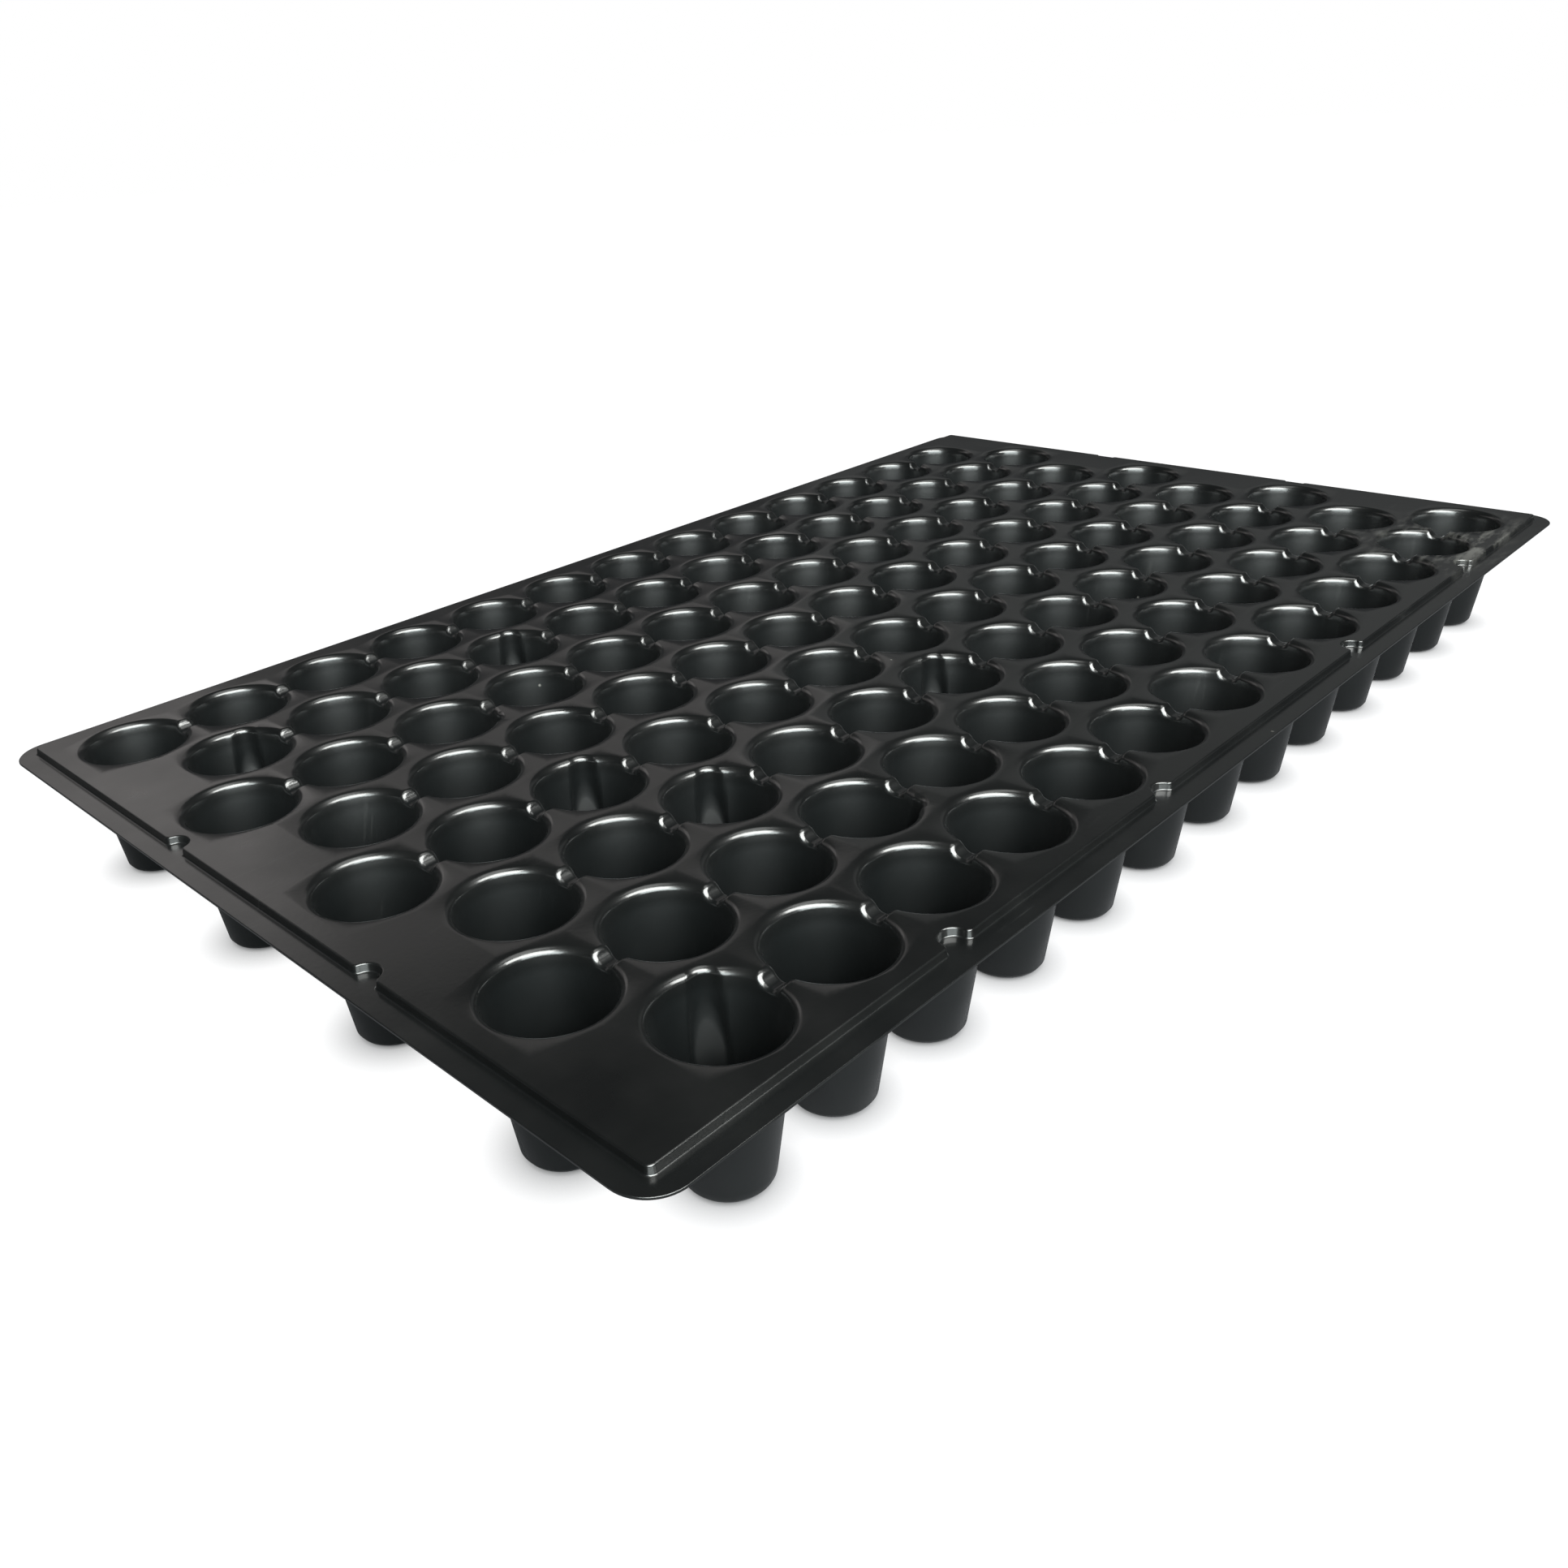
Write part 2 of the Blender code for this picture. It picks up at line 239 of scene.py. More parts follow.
def thickness(z):
    """The sheet's thickness at a height: forming has drawn the cups thinner."""
    into_cups = np.clip((-DRAWN_FROM - z) / (DRAWN_TO - DRAWN_FROM), 0, 1)
    return SHEET + (WALL - SHEET) * into_cups


# ---- Surfaces ----


def surface_points(depth, start, end, under):
    """Points on the lines from start, inside the material, to end, in the open."""
    low, high = np.zeros(start.shape[:-1]), np.ones(start.shape[:-1])
    for _ in range(HALVINGS):
        middle = (low + high) / 2
        points = start + (end - start) * middle[..., None]
        x, y, z = np.moveaxis(points, -1, 0)
        level = thickness(z) if under else 0.0
        inside = depth(x, y, z) > level
        low = np.where(inside, middle, low)
        high = np.where(inside, high, middle)
    return start + (end - start) * high[..., None]


def outward_normals(depth, points):
    """Unit normals of the surface at the points, from how the depth changes round them."""
    step = 0.01
    x, y, z = np.moveaxis(points, -1, 0)
    falls = [
        depth(x - step, y, z) - depth(x + step, y, z),
        depth(x, y - step, z) - depth(x, y + step, z),
        depth(x, y, z - step) - depth(x, y, z + step),
    ]
    normals = np.stack(falls, axis=-1)
    return normals / np.maximum(np.linalg.norm(normals, axis=-1, keepdims=True), 1e-9)


def ray_angles(near_corner, far_corner, has_pocket):
    """Directions from a cup's axis, alike on the left and right, and finest at the channels."""
    side_steps = POCKET_SIDE_STEPS if has_pocket else SIDE_STEPS

    def quarter(corner):
        by_channel = np.linspace(0, CHANNEL_END, CHANNEL_RAYS)
        to_corner = np.linspace(CHANNEL_END, corner, CORNER_STEPS + 1)[1:]
        to_side = np.linspace(corner, math.pi / 2, side_steps + 1)[1:]
        return np.concatenate([by_channel, to_corner, to_side])

    far, near = quarter(far_corner), quarter(near_corner)
    left_far = math.pi - far[-2::-1]
    left_near = math.pi + near[1:]
    right_near = 2 * math.pi - near[-2:0:-1]
    return np.concatenate([far, left_far, left_near, right_near])


def tile_reach(angles, edge_near, edge_far):
    """How far a cell's share of the deck runs in each direction."""
    across, along = np.abs(np.cos(angles)), np.sin(angles)
    to_end = CELL_PITCH / 2 / np.maximum(across, 1e-9)
    swing = 4 * ZIGZAG / CELL_PITCH
    to_zigzag = (ROW_PITCH / 2 + ZIGZAG) / (np.abs(along) + swing * across)
    edge_swing = (EDGE_REACH - EDGE_CORNER) / (CELL_PITCH / 2)
    to_edge = EDGE_REACH / (np.abs(along) + edge_swing * across)
    at_edge = np.where(along < 0, edge_near, edge_far)
    return np.minimum(to_end, np.where(at_edge, to_edge, to_zigzag))


def tile_corner(at_edge):
    height = EDGE_CORNER if at_edge else ROW_PITCH / 2 - ZIGZAG
    return math.atan2(height, CELL_PITCH / 2)


def lip_reach(angles, pocket):
    """Where the lip's fillet ends on the deck, further out over a pocket."""
    reach = np.full(angles.shape, LIP_RADIUS)
    if pocket is None:
        return reach
    off_axis = angles - pocket
    aside = POCKET_REACH * np.sin(off_axis)
    meets = (np.abs(aside) < POCKET_RADIUS) & (np.cos(off_axis) > 0)
    half_chord = np.sqrt(np.maximum(POCKET_RADIUS**2 - aside**2, 0))
    pocket_wall = POCKET_REACH * np.cos(off_axis) + half_chord
    return np.where(meets, np.maximum(reach, pocket_wall + LIP_FILLET), reach)


def foot_lines(same):
    """Lines from outside the foot to a point in the cup."""
    inset, length = 3.0, 15.0
    radius, height = FLOOR_RADIUS - inset, WALL - DECK_TOP + inset
    lines = []
    for turn in np.radians(FOOT_TURNS):
        out, up = length * math.cos(turn), length * math.sin(turn)
        lines.append((((radius + out) * same, height + up), (radius * same, height)))
    return lines


def wall_lines(same, has_pocket):
    """Level lines from outside the cup to its axis, close together over a pocket's ledge."""
    outside = 40.0
    heights = WALL_HEIGHTS
    if has_pocket:
        heights = [WALL_HEIGHTS[0]] + [-POCKET_DEPTH + rise for rise in LEDGE_RISES]
    return [((outside * same, height), (0.0 * same, height)) for height in heights]


def lip_lines(lip, pivot):
    """Lines that fan out from under the lip's outer edge, to the throat and over the fillet."""
    length = 12.0
    turns = list(THROAT_TURNS)
    for turn in np.radians(LIP_TURNS):
        out, up = LIP_FILLET * math.sin(turn), LIP_FILLET * math.cos(turn)
        turns.append(math.degrees(math.atan2(out, up - LIP_FILLET - pivot)))
    lines = []
    for turn in np.radians(turns):
        end = (lip - length * math.sin(turn), pivot + length * math.cos(turn))
        lines.append(((lip, pivot), end))
    return lines


def search_lines(angles, kind):
    """The (radius, height) ends of the lines on which each ring of points is searched for."""
    has_pocket = kind["pocket"] is not None
    lip = lip_reach(angles, kind["pocket"])
    edge = tile_reach(angles, kind["edge_near"], kind["edge_far"])
    same = np.ones(angles.shape)
    drain = DRAIN_RADIUS * same
    reach, above = 9.0, 3.0
    drain_line = ((drain, -DECK_TOP - reach), (drain, -DECK_TOP + reach))
    edge_line = ((edge, -reach), (edge, above))
    cup_lines = foot_lines(same) + wall_lines(same, has_pocket)
    return [drain_line] + cup_lines + lip_lines(lip, -reach) + [edge_line]


def cell_rings(kind):
    """Rings of points and normals, from the drain hole outwards, above and underneath."""
    corners = tile_corner(kind["edge_near"]), tile_corner(kind["edge_far"])
    angles = ray_angles(*corners, kind["pocket"] is not None)
    across, along = np.cos(angles), np.sin(angles)

    def place(radius, height):
        height = np.broadcast_to(height, angles.shape)
        return np.stack([radius * across, radius * along, height], axis=-1)

    lines = search_lines(angles, kind)
    start = np.stack([place(*line[0]) for line in lines])
    end = np.stack([place(*line[1]) for line in lines])

    def depth(x, y, z):
        return cell_depth(kind, x, y, z)

    top = surface_points(depth, start, end, under=False)
    under = surface_points(depth, start, end, under=True)
    if kind["pocket"] is None:
        chosen = sorted({*range(0, len(lines), 2), len(lines) - 1})
        under = under[chosen]
    return (top, outward_normals(depth, top)), (under, -outward_normals(depth, under))


def ring_faces(top, under):
    """Quads that close the rings of a cell into a solid, as indices into top then under."""
    count = top.shape[1]
    upper = np.arange(top.shape[0] * count).reshape(-1, count)
    lower = upper.size + np.arange(under.shape[0] * count).reshape(-1, count)

    def between(inner, outer):
        turned_inner, turned_outer = np.roll(inner, -1, axis=-1), np.roll(outer, -1, axis=-1)
        return np.stack([inner, outer, turned_outer, turned_inner], axis=-1).reshape(-1, 4)

    return np.concatenate([
        between(upper[:-1], upper[1:]),
        between(lower[1:], lower[:-1]),
        between(lower[0], upper[0]),
        between(upper[-1], lower[-1]),
    ])


def welded(points, faces):
    """Which points to keep where points meet, and the faces that aren't flattened or touching."""
    _, first, index = np.unique(
        np.round(points, WELD_DECIMALS), axis=0, return_index=True, return_inverse=True
    )
    kept = {}
    for face in index.reshape(-1)[faces].tolist():
        corners = [a for a, b in zip(face, face[1:] + face[:1]) if a != b]
        if len(set(corners)) < 3:
            continue
        key = tuple(sorted(corners))
        if kept.pop(key, None) is None:
            kept[key] = corners
    used, renumbered = np.unique(np.concatenate(list(kept.values())), return_inverse=True)
    lengths = [len(corners) for corners in kept.values()]
    split = np.split(renumbered, np.cumsum(lengths)[:-1])
    return first[used], [corners.tolist() for corners in split]


# ---- Pieces ----


def set_normals(mesh, normals):
    """Gives each face corner its point's own normal, or the face's where the two differ much."""
    points = np.empty(len(mesh.loops), np.int32)
    mesh.loops.foreach_get("vertex_index", points)
    faces = np.empty(len(mesh.polygons) * 3, np.float32)
    mesh.polygons.foreach_get("normal", faces)
    corners = np.empty(len(mesh.polygons), np.int32)
    mesh.polygons.foreach_get("loop_total", corners)
    flat = np.repeat(faces.reshape(-1, 3), corners, axis=0)
    smooth = normals[points]
    alike = (flat * smooth).sum(axis=1, keepdims=True) > math.cos(SMOOTH_ANGLE)
    mesh.normals_split_custom_set(np.where(alike, smooth, flat))


def add_piece(node, points, normals, faces, material, slot):
    """The piece that stands for a CAD node, from points in millimetres above the deck."""
    kept, faces = welded(points, faces)
    points = (points[kept] + np.array([0.0, 0.0, DECK_TOP])) * MM
    mesh = bpy.data.meshes.new("formed_" + node)
    mesh.from_pydata(points.tolist(), [], faces)
    mesh.materials.append(material)
    mesh.shade_smooth()
    set_normals(mesh, normals[kept])
    piece = bpy.data.objects.new("formed_" + node, mesh)
    bpy.context.scene.collection.objects.link(piece)
    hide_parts(node)
    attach(piece, "root")


def row_y(row):
    return (row - (len(ROWS) - 1) / 2) * ROW_PITCH


def cell_x(row, cell):
    shift = ROW_SHIFT if row % 2 == 0 else -ROW_SHIFT
    return (cell - (CELLS - 1) / 2) * CELL_PITCH + shift


def cell_kind(row, cell):
    return {
        "edge_near": row == 0,
        "edge_far": row == len(ROWS) - 1,
        "left_channel": cell > 0,
        "right_channel": cell < CELLS - 1,
        "pocket": POCKETS.get((ROWS[row], cell)),
    }


def cell_shape(kind):
    """A cell's points, normals and quads, with the cup's axis at the origin."""
    (top, top_normals), (under, under_normals) = cell_rings(kind)
    points = np.concatenate([top.reshape(-1, 3), under.reshape(-1, 3)])
    normals = np.concatenate([top_normals.reshape(-1, 3), under_normals.reshape(-1, 3)])
    return points, normals, ring_faces(top, under)


def joined_cells(row, cells, made):
    """The shape of a node's cells together; made keeps a shape for each kind of cell."""
    points, normals, faces, count = [], [], [], 0
    for cell in cells:
        kind = cell_kind(row, cell)
        key = tuple(kind.values())
        if key not in made:
            made[key] = cell_shape(kind)
        shape, directions, quads = made[key]
        points.append(shape + np.array([cell_x(row, cell), row_y(row), 0.0]))
        normals.append(directions)
        faces.append(quads + count)
        count += len(shape)
    return [np.concatenate(parts) for parts in (points, normals, faces)]


def add_cells(material):
    made = {}
    for row, letter in enumerate(ROWS):
        for first in range(0, CELLS, 2):
            cells = range(first, min(first + 2, CELLS))
            node = "cells_" + "_".join(f"{letter}{cell + 1:02d}" for cell in cells)
            add_piece(node, *joined_cells(row, cells, made), material, "cell_plastic")


def row_end_line():
    """The (x, y) points of the line where the rows' tiles end on the left."""
    points = []
    for row in range(len(ROWS)):
        narrow = ROW_PITCH / 2 - ZIGZAG
        near = EDGE_CORNER if row == 0 else narrow
        far = EDGE_CORNER if row == len(ROWS) - 1 else narrow
        x = cell_x(row, 0) - CELL_PITCH / 2
        points += [(x, row_y(row) - near), (x, row_y(row) + far)]
    return np.array(points)


def row_side_line():
    """The (x, y) points of the line where the near row's tiles end at the near rim piece."""
    reaches = [EDGE_CORNER if i % 2 == 0 else EDGE_REACH for i in range(2 * CELLS + 1)]
    start = cell_x(0, 0) - CELL_PITCH / 2
    return np.array([(start + i * CELL_PITCH / 2, row_y(0) - r) for i, r in enumerate(reaches)])


END_LINE = row_end_line()
SIDE_LINE = row_side_line()
STEP_X, STEP_Y = LENGTH / 2 - FLANGE_WIDTH, WIDTH / 2 - FLANGE_WIDTH


def step_profile():
    """Distance out, height and lean of the normal, down the step from the deck to the flange."""
    steepest = math.pi / 2 - math.atan(STEP_DRAFT)
    top_out = -FLANGE_DROP * STEP_DRAFT - STEP_FILLET * math.tan(steepest / 2)
    foot_out = STEP_FOOT * math.tan(steepest / 2)
    leans = np.linspace(0, steepest, FILLET_POINTS)
    across, up = np.sin(leans), np.cos(leans)
    top = np.stack([top_out + STEP_FILLET * across, STEP_FILLET * (up - 1), leans], axis=-1)
    foot_height = STEP_FOOT * (1 - up) - FLANGE_DROP
    foot = np.stack([foot_out - STEP_FOOT * across, foot_height, leans], axis=-1)
    return np.concatenate([top, foot[::-1]])


PROFILE = step_profile()


def notch_path(place, inset, size):
    """(along, out, turn) points of the step's foot round a notch; turn swings its outward normal."""
    radius, neck = size
    neck_drop = neck - inset
    neck_away = math.sqrt((radius + neck) ** 2 - neck_drop**2)
    swing = math.atan2(neck_away, neck_drop)

    def corner(side, turn):
        along = place + side * neck_away + neck * math.sin(turn)
        return along, neck * (math.cos(turn) - 1), turn

    def bite(turn):
        along = place - radius * math.sin(turn)
        return along, -inset - radius * math.cos(turn), turn

    turns = np.linspace(0, swing, FILLET_POINTS)
    first = [corner(-1, turn) for turn in turns[:-1]]
    last = [corner(1, -turn) for turn in turns[-2::-1]]
    return first + [bite(turn) for turn in np.linspace(swing, -swing, NOTCH_POINTS)] + last


def side_path(start, end, notches, size, others):
    """(along, out, turn) points of the step's foot along one side."""
    paths = [notch_path(place, inset, size) for place, inset in notches.items()]
    count = int((end - start) / STATION_SPACING) + 2
    regular = [*np.linspace(start, end, count), *others]
    straight = [
        (place, 0.0, 0.0)
        for place in regular
        if not any(path[0][0] <= place <= path[-1][0] for path in paths)
    ]
    return np.array(sorted(straight + [point for path in paths for point in path]))


def near_stations(notches, size):
    """Cross-sections of a long rim piece on the near side: deck end, foot, normal, edge, outward."""
    path = side_path(SIDE_LINE[0, 0], SIDE_LINE[-1, 0], notches, size, SIDE_LINE[:, 0])
    along, out, turn = path.T
    deck_x = along + PROFILE[0, 0] * np.sin(turn)
    for corner_x in SIDE_LINE[:, 0]:
        deck_x[np.abs(deck_x - corner_x).argmin()] = corner_x
    ends = np.stack([deck_x, np.interp(deck_x, *SIDE_LINE.T)], axis=-1)
    foot = np.stack([along, -STEP_Y - out], axis=-1)
    normals = np.stack([np.sin(turn), -np.cos(turn)], axis=-1)
    edge_x = along + PROFILE[-1, 0] * np.sin(turn)
    edge = np.stack([edge_x, np.full(len(path), -WIDTH / 2)], axis=-1)
    outward = np.broadcast_to([0.0, -1.0], edge.shape)
    return np.stack([ends, foot, normals, edge, outward], axis=1)


def corner_stations(side_y, end):
    """Cross-sections round a left corner, from the near or far side to the left one."""
    stations = []
    for turn in np.linspace(0, math.pi / 2, CORNER_STATIONS):
        out = np.array([-math.sin(turn), side_y * math.cos(turn)])
        foot = np.array([-STEP_X + STEP_CORNER, side_y * (STEP_Y - STEP_CORNER)])
        edge = np.array([-LENGTH / 2 + FLANGE_CORNER, side_y * (WIDTH / 2 - FLANGE_CORNER)])
        stations.append([end, foot + STEP_CORNER * out, out, edge + FLANGE_CORNER * out, out])
    return np.array(stations)


def left_stations(notches):
    """Cross-sections of the left rim piece, which holds both left corners."""
    low = -WIDTH / 2 + FLANGE_CORNER
    path = side_path(low, -low, notches, NOTCH, END_LINE[1:-1, 1])
    along, out, turn = path.T
    deck_y = np.clip(along + PROFILE[0, 0] * np.sin(turn), END_LINE[0, 1], END_LINE[-1, 1])
    ends = np.stack([np.interp(deck_y, END_LINE[:, 1], END_LINE[:, 0]), deck_y], axis=-1)
    foot = np.stack([-STEP_X - out, along], axis=-1)
    normals = np.stack([-np.cos(turn), np.sin(turn)], axis=-1)
    edge_y = along + PROFILE[-1, 0] * np.sin(turn)
    edge = np.stack([np.full(len(path), -LENGTH / 2), edge_y], axis=-1)
    outward = np.broadcast_to([-1.0, 0.0], edge.shape)
    side = np.stack([ends, foot, normals, edge, outward], axis=1)

    def seam(end, side_y):
        out = (0.0, side_y)
        return np.array([[end, (end[0], side_y * STEP_Y), out, (end[0], side_y * WIDTH / 2), out]])

    return np.concatenate([
        seam(END_LINE[0], -1.0),
        corner_stations(-1.0, END_LINE[0]),
        side,
        corner_stations(1.0, END_LINE[-1])[::-1],
        seam(END_LINE[-1], 1.0),
    ])


def rim_shape(stations):
    """Points, normals and quads of a rim piece: a closed loop of points at each cross-section."""
    ends, foot, across, edge, outward = np.moveaxis(stations, 1, 0)
    points, normals = [], []

    def add(places, height, directions, rise):
        points.append(np.column_stack([places, np.full(len(places), height)]))
        normals.append(np.column_stack([directions, np.full(len(places), rise)]))

    none = np.zeros(across.shape)
    rounded = edge - CUT_ROUND * outward
    flange = -FLANGE_DROP
    add(ends, 0.0, none, 1.0)
    for out, height, lean in PROFILE:
        add(foot + out * across, height, across * math.sin(lean), math.cos(lean))
    add(rounded, flange, none, 1.0)
    add(edge, flange - CUT_ROUND, outward, 0.0)
    add(edge, flange - SHEET + CUT_ROUND, outward, 0.0)
    add(rounded, flange - SHEET, none, -1.0)
    for out, height, lean in PROFILE[::-1]:
        inward = out - SHEET * math.sin(lean)
        lower = height - SHEET * math.cos(lean)
        add(foot + inward * across, lower, -across * math.sin(lean), -math.cos(lean))
    add(ends, -SHEET, none, -1.0)

    around, count = len(points), len(stations)
    index = np.arange(around * count).reshape(around, count).T
    before, after = index[:-1], index[1:]
    rings = [before, np.roll(before, -1, axis=1), np.roll(after, -1, axis=1), after]
    sides = np.stack(rings, axis=-1).reshape(-1, 4)
    steps = range(around // 2 - 1)
    first, last = index[0], index[-1]
    start_cap = [[first[k], first[-1 - k], first[-2 - k], first[k + 1]] for k in steps]
    end_cap = [[last[k], last[k + 1], last[-2 - k], last[-1 - k]] for k in steps]
    faces = np.concatenate([sides, start_cap, end_cap])
    return np.concatenate(points), np.concatenate(normals), faces


def add_rim(material):
    half_turn = np.array([-1.0, -1.0, 1.0])
    near = near_stations(NEAR_SIDE_NOTCHES, NOTCH)
    far = near_stations(FAR_SIDE_DENTS, DENT)
    left = left_stations(SHORT_SIDE_NOTCHES)[::-1]
    for node, stations, turned in (
        ("rim_near", near, False),
        ("rim_far", far, True),
        ("rim_left", left, False),
        ("rim_right", left, True),
    ):
        points, normals, faces = rim_shape(stations)
        if turned:
            points, normals = points * half_turn, normals * half_turn
        add_piece(node, points, normals, faces, material, "rim_plastic")


# ---- Materials ----


class Graph:
    """Adds nodes to one material, with positions in metres in the tray's own space."""

    def __init__(self, material):
        material.use_nodes = True
        self.nodes = material.node_tree.nodes
        self.links = material.node_tree.links
        self.shader = self.nodes["Principled BSDF"]
        self.place = self.nodes.new("ShaderNodeTexCoord").outputs["Object"]

    def add(self, kind, inputs, **settings):
        """A node with the settings; each input is linked if it's a socket and set if it isn't."""
        node = self.nodes.new(kind)
        for name, value in settings.items():
            setattr(node, name, value)
        for name, value in inputs.items():
            if isinstance(value, bpy.types.NodeSocket):
                self.links.new(value, node.inputs[name])
            else:
                node.inputs[name].default_value = value
        return node

    def streaked_place(self, narrowing, degrees):
        """Positions for streaks along X: squeezed in Y, then turned to another part of the noise."""
        turn = (0.0, 0.0, math.radians(degrees))
        inputs = {"Vector": self.place, "Scale": (1.0, narrowing, 1.0), "Rotation": turn}
        return self.add("ShaderNodeMapping", inputs).outputs["Vector"]

    def noise(self, scale, detail, roughness=0.5, place=None):
        """Noise from 0 to 1 with about scale lumps in a metre."""
        if place is None:
            place = self.place
        inputs = {"Vector": place, "Scale": scale, "Detail": detail, "Roughness": roughness}
        return self.add("ShaderNodeTexNoise", inputs).outputs["Fac"]

    def specks(self, scale, size, share):
        """1 in small round specks, up to scale in a metre along each axis."""
        cells = self.add("ShaderNodeTexVoronoi", {"Vector": self.place, "Scale": scale})
        spot = self.span(cells.outputs["Distance"], size, size * 0.5)
        chosen = self.span(cells.outputs["Color"], 1 - share, 1 - share * 0.9)
        return self.math("MULTIPLY", spot, chosen)

    def height(self):
        """How high the point is above the plane that the cups stand on, in metres."""
        return self.add("ShaderNodeSeparateXYZ", {0: self.place}).outputs["Z"]

    def nearness(self, place, reach):
        """1 at a place on the deck, falling to 0 at the reach; both in millimetres."""
        centre = (place[0] * MM, place[1] * MM, DECK_TOP * MM)
        inputs = {0: self.place, 1: centre}
        away = self.add("ShaderNodeVectorMath", inputs, operation="DISTANCE").outputs["Value"]
        return self.span(away, reach * MM, 0.0)

    def span(self, value, low, high, out_low=0.0, out_high=1.0):
        """Maps low and high to out_low and out_high, held at both ends."""
        inputs = {"Value": value, "From Min": low, "From Max": high}
        inputs.update({"To Min": out_low, "To Max": out_high})
        return self.add("ShaderNodeMapRange", inputs).outputs["Result"]

    def math(self, operation, first, second):
        node = self.add("ShaderNodeMath", {0: first, 1: second}, operation=operation)
        return node.outputs["Value"]

    def mix(self, share, first, second):
        """A colour between two others."""
        node = self.add("ShaderNodeMix", {}, data_type="RGBA")
        for name, value in (("Factor_Float", share), ("A_Color", first), ("B_Color", second)):
            socket = next(item for item in node.inputs if item.identifier == name)
            if isinstance(value, bpy.types.NodeSocket):
                self.links.new(value, socket)
            else:
                socket.default_value = value
        return next(item for item in node.outputs if item.identifier == "Result_Color")

    def bump(self, height, distance, normal=None):
        inputs = {"Height": height, "Distance": distance, "Strength": 1.0}
        if normal is not None:
            inputs["Normal"] = normal
        return self.add("ShaderNodeBump", inputs).outputs["Normal"]


def scuff_share(graph, scuffing):
    """How scuffed a point is: streaks in patches, and more of them round the worn corner."""
    place = graph.streaked_place(narrowing=14.0, degrees=62.0)
    streaks = graph.noise(scale=30.0, detail=6.0, roughness=0.7, place=place)
    patches = graph.span(graph.noise(scale=11.0, detail=2.0), 0.5, 0.72)
    patches = graph.math("MAXIMUM", patches, graph.nearness(WORN_CORNER, WORN_REACH))
    scuffs = graph.math("MULTIPLY", graph.span(streaks, 0.6, 0.8), patches)
    return graph.math("MULTIPLY", scuffs, scuffing)


def smear_share(graph):
    """How smeared a point is: chalky marks on the deck round the worn corner."""
    place = graph.streaked_place(narrowing=4.0, degrees=70.0)
    marks = graph.noise(scale=55.0, detail=8.0, roughness=0.65, place=place)
    marks = graph.span(marks, 0.48, 0.64)
    smears = graph.math("MULTIPLY", marks, graph.nearness(WORN_CORNER, WORN_REACH))
    on_deck = graph.span(graph.height(), (DECK_TOP - SMEAR_DROP) * MM, DECK_TOP * MM)
    return graph.math("MULTIPLY", smears, on_deck)


def add_unevenness(graph):
    """Slow waves, fine pitting and a few sunken nicks, all too shallow to model."""
    nicks = graph.specks(scale=90.0, size=0.12, share=0.05)
    normal = graph.bump(graph.noise(scale=14.0, detail=1.0), WAVE_DEPTH)
    normal = graph.bump(graph.noise(scale=700.0, detail=2.0), PIT_DEPTH, normal)
    normal = graph.bump(nicks, -NICK_DEPTH, normal)
    graph.links.new(normal, graph.shader.inputs["Normal"])
    graph.links.new(normal, graph.shader.inputs["Coat Normal"])


def black_plastic(name, scuffing):
    """Black polystyrene sheet: mottled, duller in the cups and darkened there by painted shade, with
    scuffs, smears and a little dust.
    """
    material = bpy.data.materials.new(name)
    graph = Graph(material)
    shader = graph.shader.inputs
    shader["IOR"].default_value = 1.55
    shader["Coat Weight"].default_value = 1.0
    shader["Specular IOR Level"].default_value = 0.4
    shader["Coat IOR"].default_value = 1.5

    mottle = graph.span(graph.noise(scale=45.0, detail=5.0), 0.3, 0.7)
    # how far a point lies in the cups, for their duller finish and their painted shade
    drawn_from, drawn_to = (DECK_TOP - DRAWN_FROM) * MM, (DECK_TOP - DRAWN_TO) * MM
    into_cups = graph.span(graph.height(), drawn_from, drawn_to)
    scuffs = scuff_share(graph, scuffing)
    dust = graph.specks(scale=260.0, size=0.16, share=0.06)

    plastic = graph.mix(mottle, DARK_PLASTIC, PALE_PLASTIC)
    # painted shade: the cups' insides get a darker colour below the deck
    plastic = graph.mix(into_cups, plastic, CUP_SHADE_PLASTIC)
    plastic = graph.mix(scuffs, plastic, SCUFF)
    plastic = graph.mix(smear_share(graph), plastic, SMEAR)
    plastic = graph.mix(dust, plastic, DUST)
    graph.links.new(plastic, shader["Base Color"])

    worn = graph.math("MULTIPLY", scuffs, SCUFF_ROUGHNESS)
    dull = graph.math("ADD", worn, graph.math("MULTIPLY", into_cups, DRAWN_ROUGHNESS))
    rough = graph.math("ADD", graph.span(mottle, 0.0, 1.0, *ROUGHNESS), dull)
    coat_rough = graph.math("ADD", graph.span(mottle, 0.0, 1.0, *COAT_ROUGHNESS), worn)
    graph.links.new(rough, shader["Roughness"])
    graph.links.new(coat_rough, shader["Coat Roughness"])
    add_unevenness(graph)
    return material


# ---- Stage ----


def add_camera():
    camera_data = bpy.data.cameras.new("camera")
    camera_data.sensor_width = CAMERA_SENSOR
    camera_data.lens = CAMERA_LENS
    camera_data.shift_x, camera_data.shift_y = CAMERA_SHIFT
    camera_data.clip_start = 0.01
    camera = bpy.data.objects.new("camera", camera_data)
    turn_z, turn_x, turn_y = (math.radians(angle) for angle in CAMERA_TURN)
    turn = (
        Matrix.Rotation(turn_z, 4, "Z")
        @ Matrix.Rotation(turn_x, 4, "X")
        @ Matrix.Rotation(turn_y, 4, "Y")
    )
    camera.matrix_world = Matrix.Translation(CAMERA_PLACE) @ turn
    bpy.context.scene.collection.objects.link(camera)
    bpy.context.scene.camera = camera


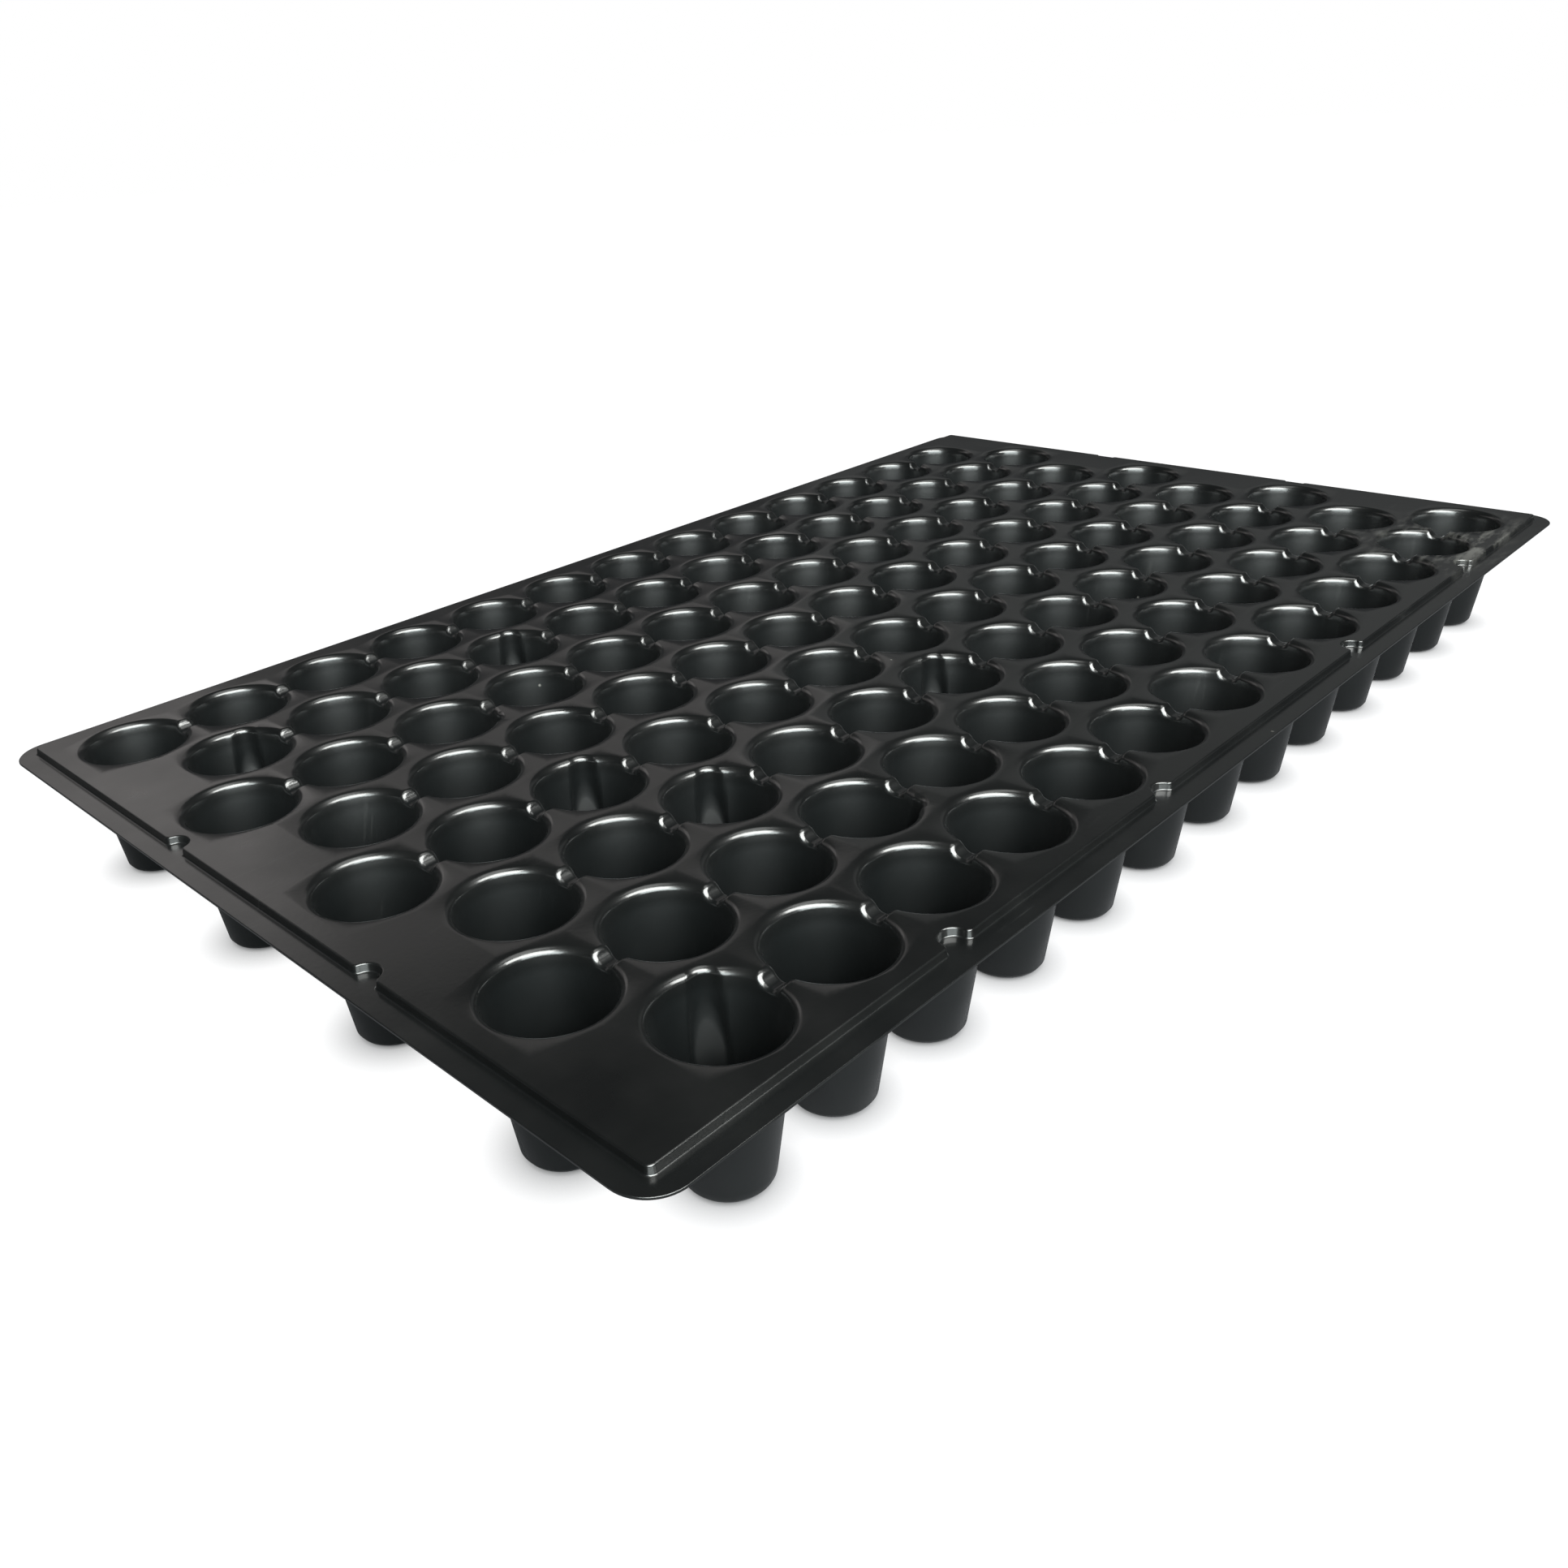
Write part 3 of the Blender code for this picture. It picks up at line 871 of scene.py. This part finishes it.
def floor_material():
    """White to the camera, with a little shade where the cups stand, and dark to everything else."""
    material = bpy.data.materials.new("floor")
    graph = Graph(material)
    shader = graph.shader.inputs
    shader["Base Color"].default_value = FLOOR_COLOUR
    shader["Roughness"].default_value = 1.0
    shader["Specular IOR Level"].default_value = 0.0
    shader["Emission Color"].default_value = (1.0, 1.0, 1.0, 1.0)

    away = graph.add("ShaderNodeVectorMath", {0: graph.place}, operation="LENGTH")
    inputs = {"Value": away.outputs["Value"], "To Min": FLOOR_GLOW, "To Max": 1.0}
    inputs.update({"From Min": FLOOR_FADE[0], "From Max": FLOOR_FADE[1]})
    glow = graph.add("ShaderNodeMapRange", inputs, interpolation_type="SMOOTHSTEP")
    seen = graph.add("ShaderNodeLightPath", {}).outputs["Is Camera Ray"]
    near_cups = graph.add("ShaderNodeAmbientOcclusion", {"Distance": CONTACT_SHADOW})
    strength = graph.math("MULTIPLY", seen, glow.outputs["Result"])
    strength = graph.math("MULTIPLY", strength, near_cups.outputs["AO"])
    graph.links.new(strength, shader["Emission Strength"])
    return material


def add_floor():
    half = FLOOR_SIZE / 2
    mesh = bpy.data.meshes.new("floor")
    corners = [(-half, -half, 0), (half, -half, 0), (half, half, 0), (-half, half, 0)]
    mesh.from_pydata(corners, [], [(0, 1, 2, 3)])
    mesh.materials.append(floor_material())
    floor = bpy.data.objects.new("floor", mesh)
    floor.location.z = -FLOOR_GAP
    bpy.context.scene.collection.objects.link(floor)


def add_softbox(name, azimuth, elevation, width, height, radiance, colour):
    """An area light that faces the tray; azimuth counts from +X, elevation up from the floor."""
    data = bpy.data.lights.new(name, "AREA")
    data.shape = "RECTANGLE"
    data.size, data.size_y = width, height
    data.energy = radiance * math.pi * width * height
    data.color = colour
    light = bpy.data.objects.new(name, data)
    light.visible_camera = False
    turn, rise = math.radians(azimuth), math.radians(elevation)
    level = math.cos(rise)
    back = Vector((math.cos(turn) * level, math.sin(turn) * level, math.sin(rise)))
    light.location = back * SOFTBOX_DISTANCE
    light.rotation_mode = "QUATERNION"
    light.rotation_quaternion = back.to_track_quat("Z", "Y")
    bpy.context.scene.collection.objects.link(light)


def add_world():
    """White behind the scene, and a dim grey room in the reflections."""
    world = bpy.data.worlds.new("studio")
    world.use_nodes = True
    nodes, links = world.node_tree.nodes, world.node_tree.links
    room = nodes["Background"]
    room.inputs["Color"].default_value = ROOM_COLOUR
    room.inputs["Strength"].default_value = ROOM
    white = nodes.new("ShaderNodeBackground")
    white.inputs["Strength"].default_value = 1.0
    white.inputs["Color"].default_value = (1.0, 1.0, 1.0, 1.0)
    seen = nodes.new("ShaderNodeLightPath")
    mix = nodes.new("ShaderNodeMixShader")
    links.new(seen.outputs["Is Camera Ray"], mix.inputs["Fac"])
    links.new(room.outputs["Background"], mix.inputs[1])
    links.new(white.outputs["Background"], mix.inputs[2])
    links.new(mix.outputs["Shader"], nodes["World Output"].inputs["Surface"])
    bpy.context.scene.world = world


def add_studio():
    bpy.context.scene.view_settings.view_transform = "Standard"
    add_camera()
    add_floor()
    add_world()
    for name, softbox in SOFTBOXES.items():
        add_softbox(name, *softbox)


add_cells(black_plastic("cell_plastic_visual", scuffing=0.4))
add_rim(black_plastic("rim_plastic_visual", scuffing=1.0))
add_studio()
